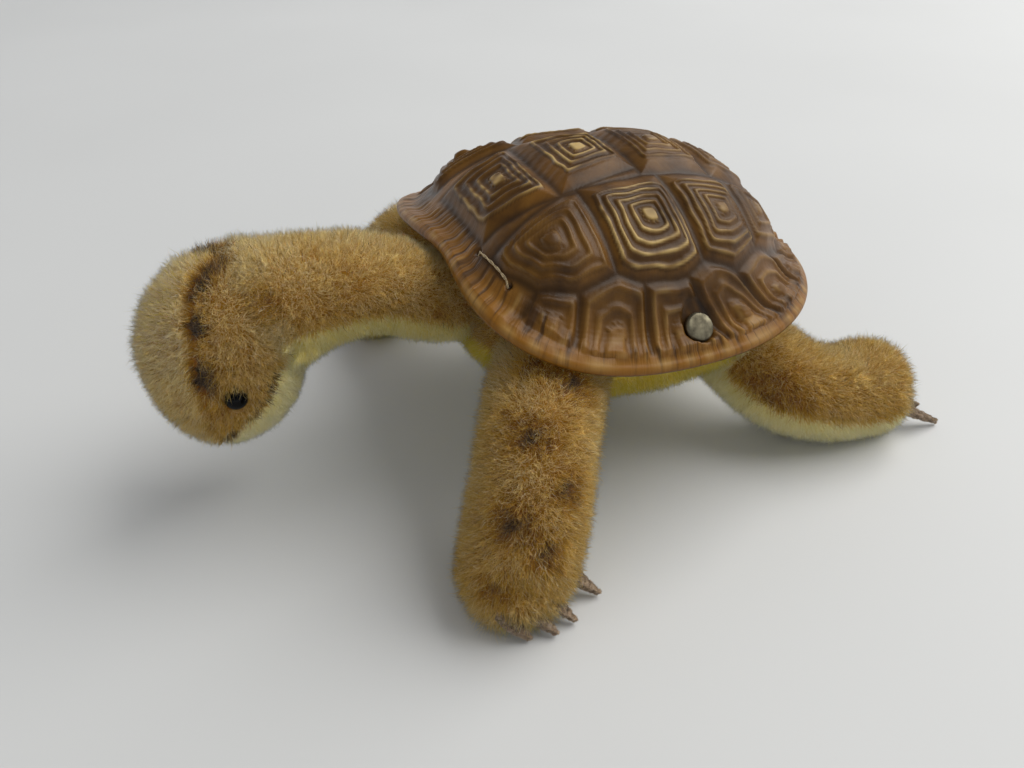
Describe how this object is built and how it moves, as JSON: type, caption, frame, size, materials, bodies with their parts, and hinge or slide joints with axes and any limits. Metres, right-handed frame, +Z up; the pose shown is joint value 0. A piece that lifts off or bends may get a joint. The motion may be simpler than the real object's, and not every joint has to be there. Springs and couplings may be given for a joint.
{
  "type": "plush turtle",
  "caption": "Stuffed mohair turtle standing on its feet, head bowed on a long neck, with felt claws, bead eyes and a moulded rubber shell.",
  "frame": {"origin": "middle of the toy's bounding box, on the floor under its belly", "axes": "+Z up, -Y the way that the head points, +X the turtle's left side, which carries the metal button"},
  "size_m": [0.11, 0.147, 0.0566],
  "materials": {
    "shell_rubber": "satin moulded relief, worn pale on the ridges",
    "tan_mohair": "dense short mohair pile with sprayed dark spots",
    "grey_tan_mohair": "dense short mohair pile",
    "yellow_mohair": "dense short mohair pile",
    "wood_wool": "packed loose stuffing",
    "claw_felt": "matt felt",
    "black_bead": "polished",
    "steel_wire": "drawn",
    "aged_metal": "dull, worn and bare of marks",
    "linen_thread": "twisted"
  },
  "bodies": {
    "root": {"carapace": "shell_rubber", "button_cap": "aged_metal", "button_rivet": "aged_metal", "shell_stitch": "linen_thread", "head_gusset": "grey_tan_mohair", "back_panel": "tan_mohair", "neck_panel_left": "tan_mohair", "neck_panel_right": "tan_mohair", "cheek_panel_left": "tan_mohair", "cheek_panel_right": "tan_mohair", "front_leg_left_upper_panel": "tan_mohair", "front_leg_right_upper_panel": "tan_mohair", "hind_leg_left_upper_panel": "tan_mohair", "hind_leg_right_upper_panel": "tan_mohair", "belly_panel": "yellow_mohair", "throat_panel": "yellow_mohair", "chin_panel": "yellow_mohair", "front_leg_left_sole_panel": "yellow_mohair", "front_leg_right_sole_panel": "yellow_mohair", "hind_leg_left_sole_panel": "yellow_mohair", "hind_leg_right_sole_panel": "yellow_mohair", "torso_stuffing": "wood_wool", "neck_stuffing": "wood_wool", "head_stuffing": "wood_wool", "front_leg_left_stuffing": "wood_wool", "front_leg_right_stuffing": "wood_wool", "hind_leg_left_stuffing": "wood_wool", "hind_leg_right_stuffing": "wood_wool", "front_left_claw_1": "claw_felt", "front_left_claw_2": "claw_felt", "front_left_claw_3": "claw_felt", "front_left_claw_4": "claw_felt", "front_right_claw_1": "claw_felt", "front_right_claw_2": "claw_felt", "front_right_claw_3": "claw_felt", "front_right_claw_4": "claw_felt", "hind_left_claw_1": "claw_felt", "hind_left_claw_2": "claw_felt", "hind_left_claw_3": "claw_felt", "hind_right_claw_1": "claw_felt", "hind_right_claw_2": "claw_felt", "hind_right_claw_3": "claw_felt", "eye_left": "black_bead", "eye_right": "black_bead", "eye_shank_left": "steel_wire", "eye_shank_right": "steel_wire"}
  },
  "joints": []
}
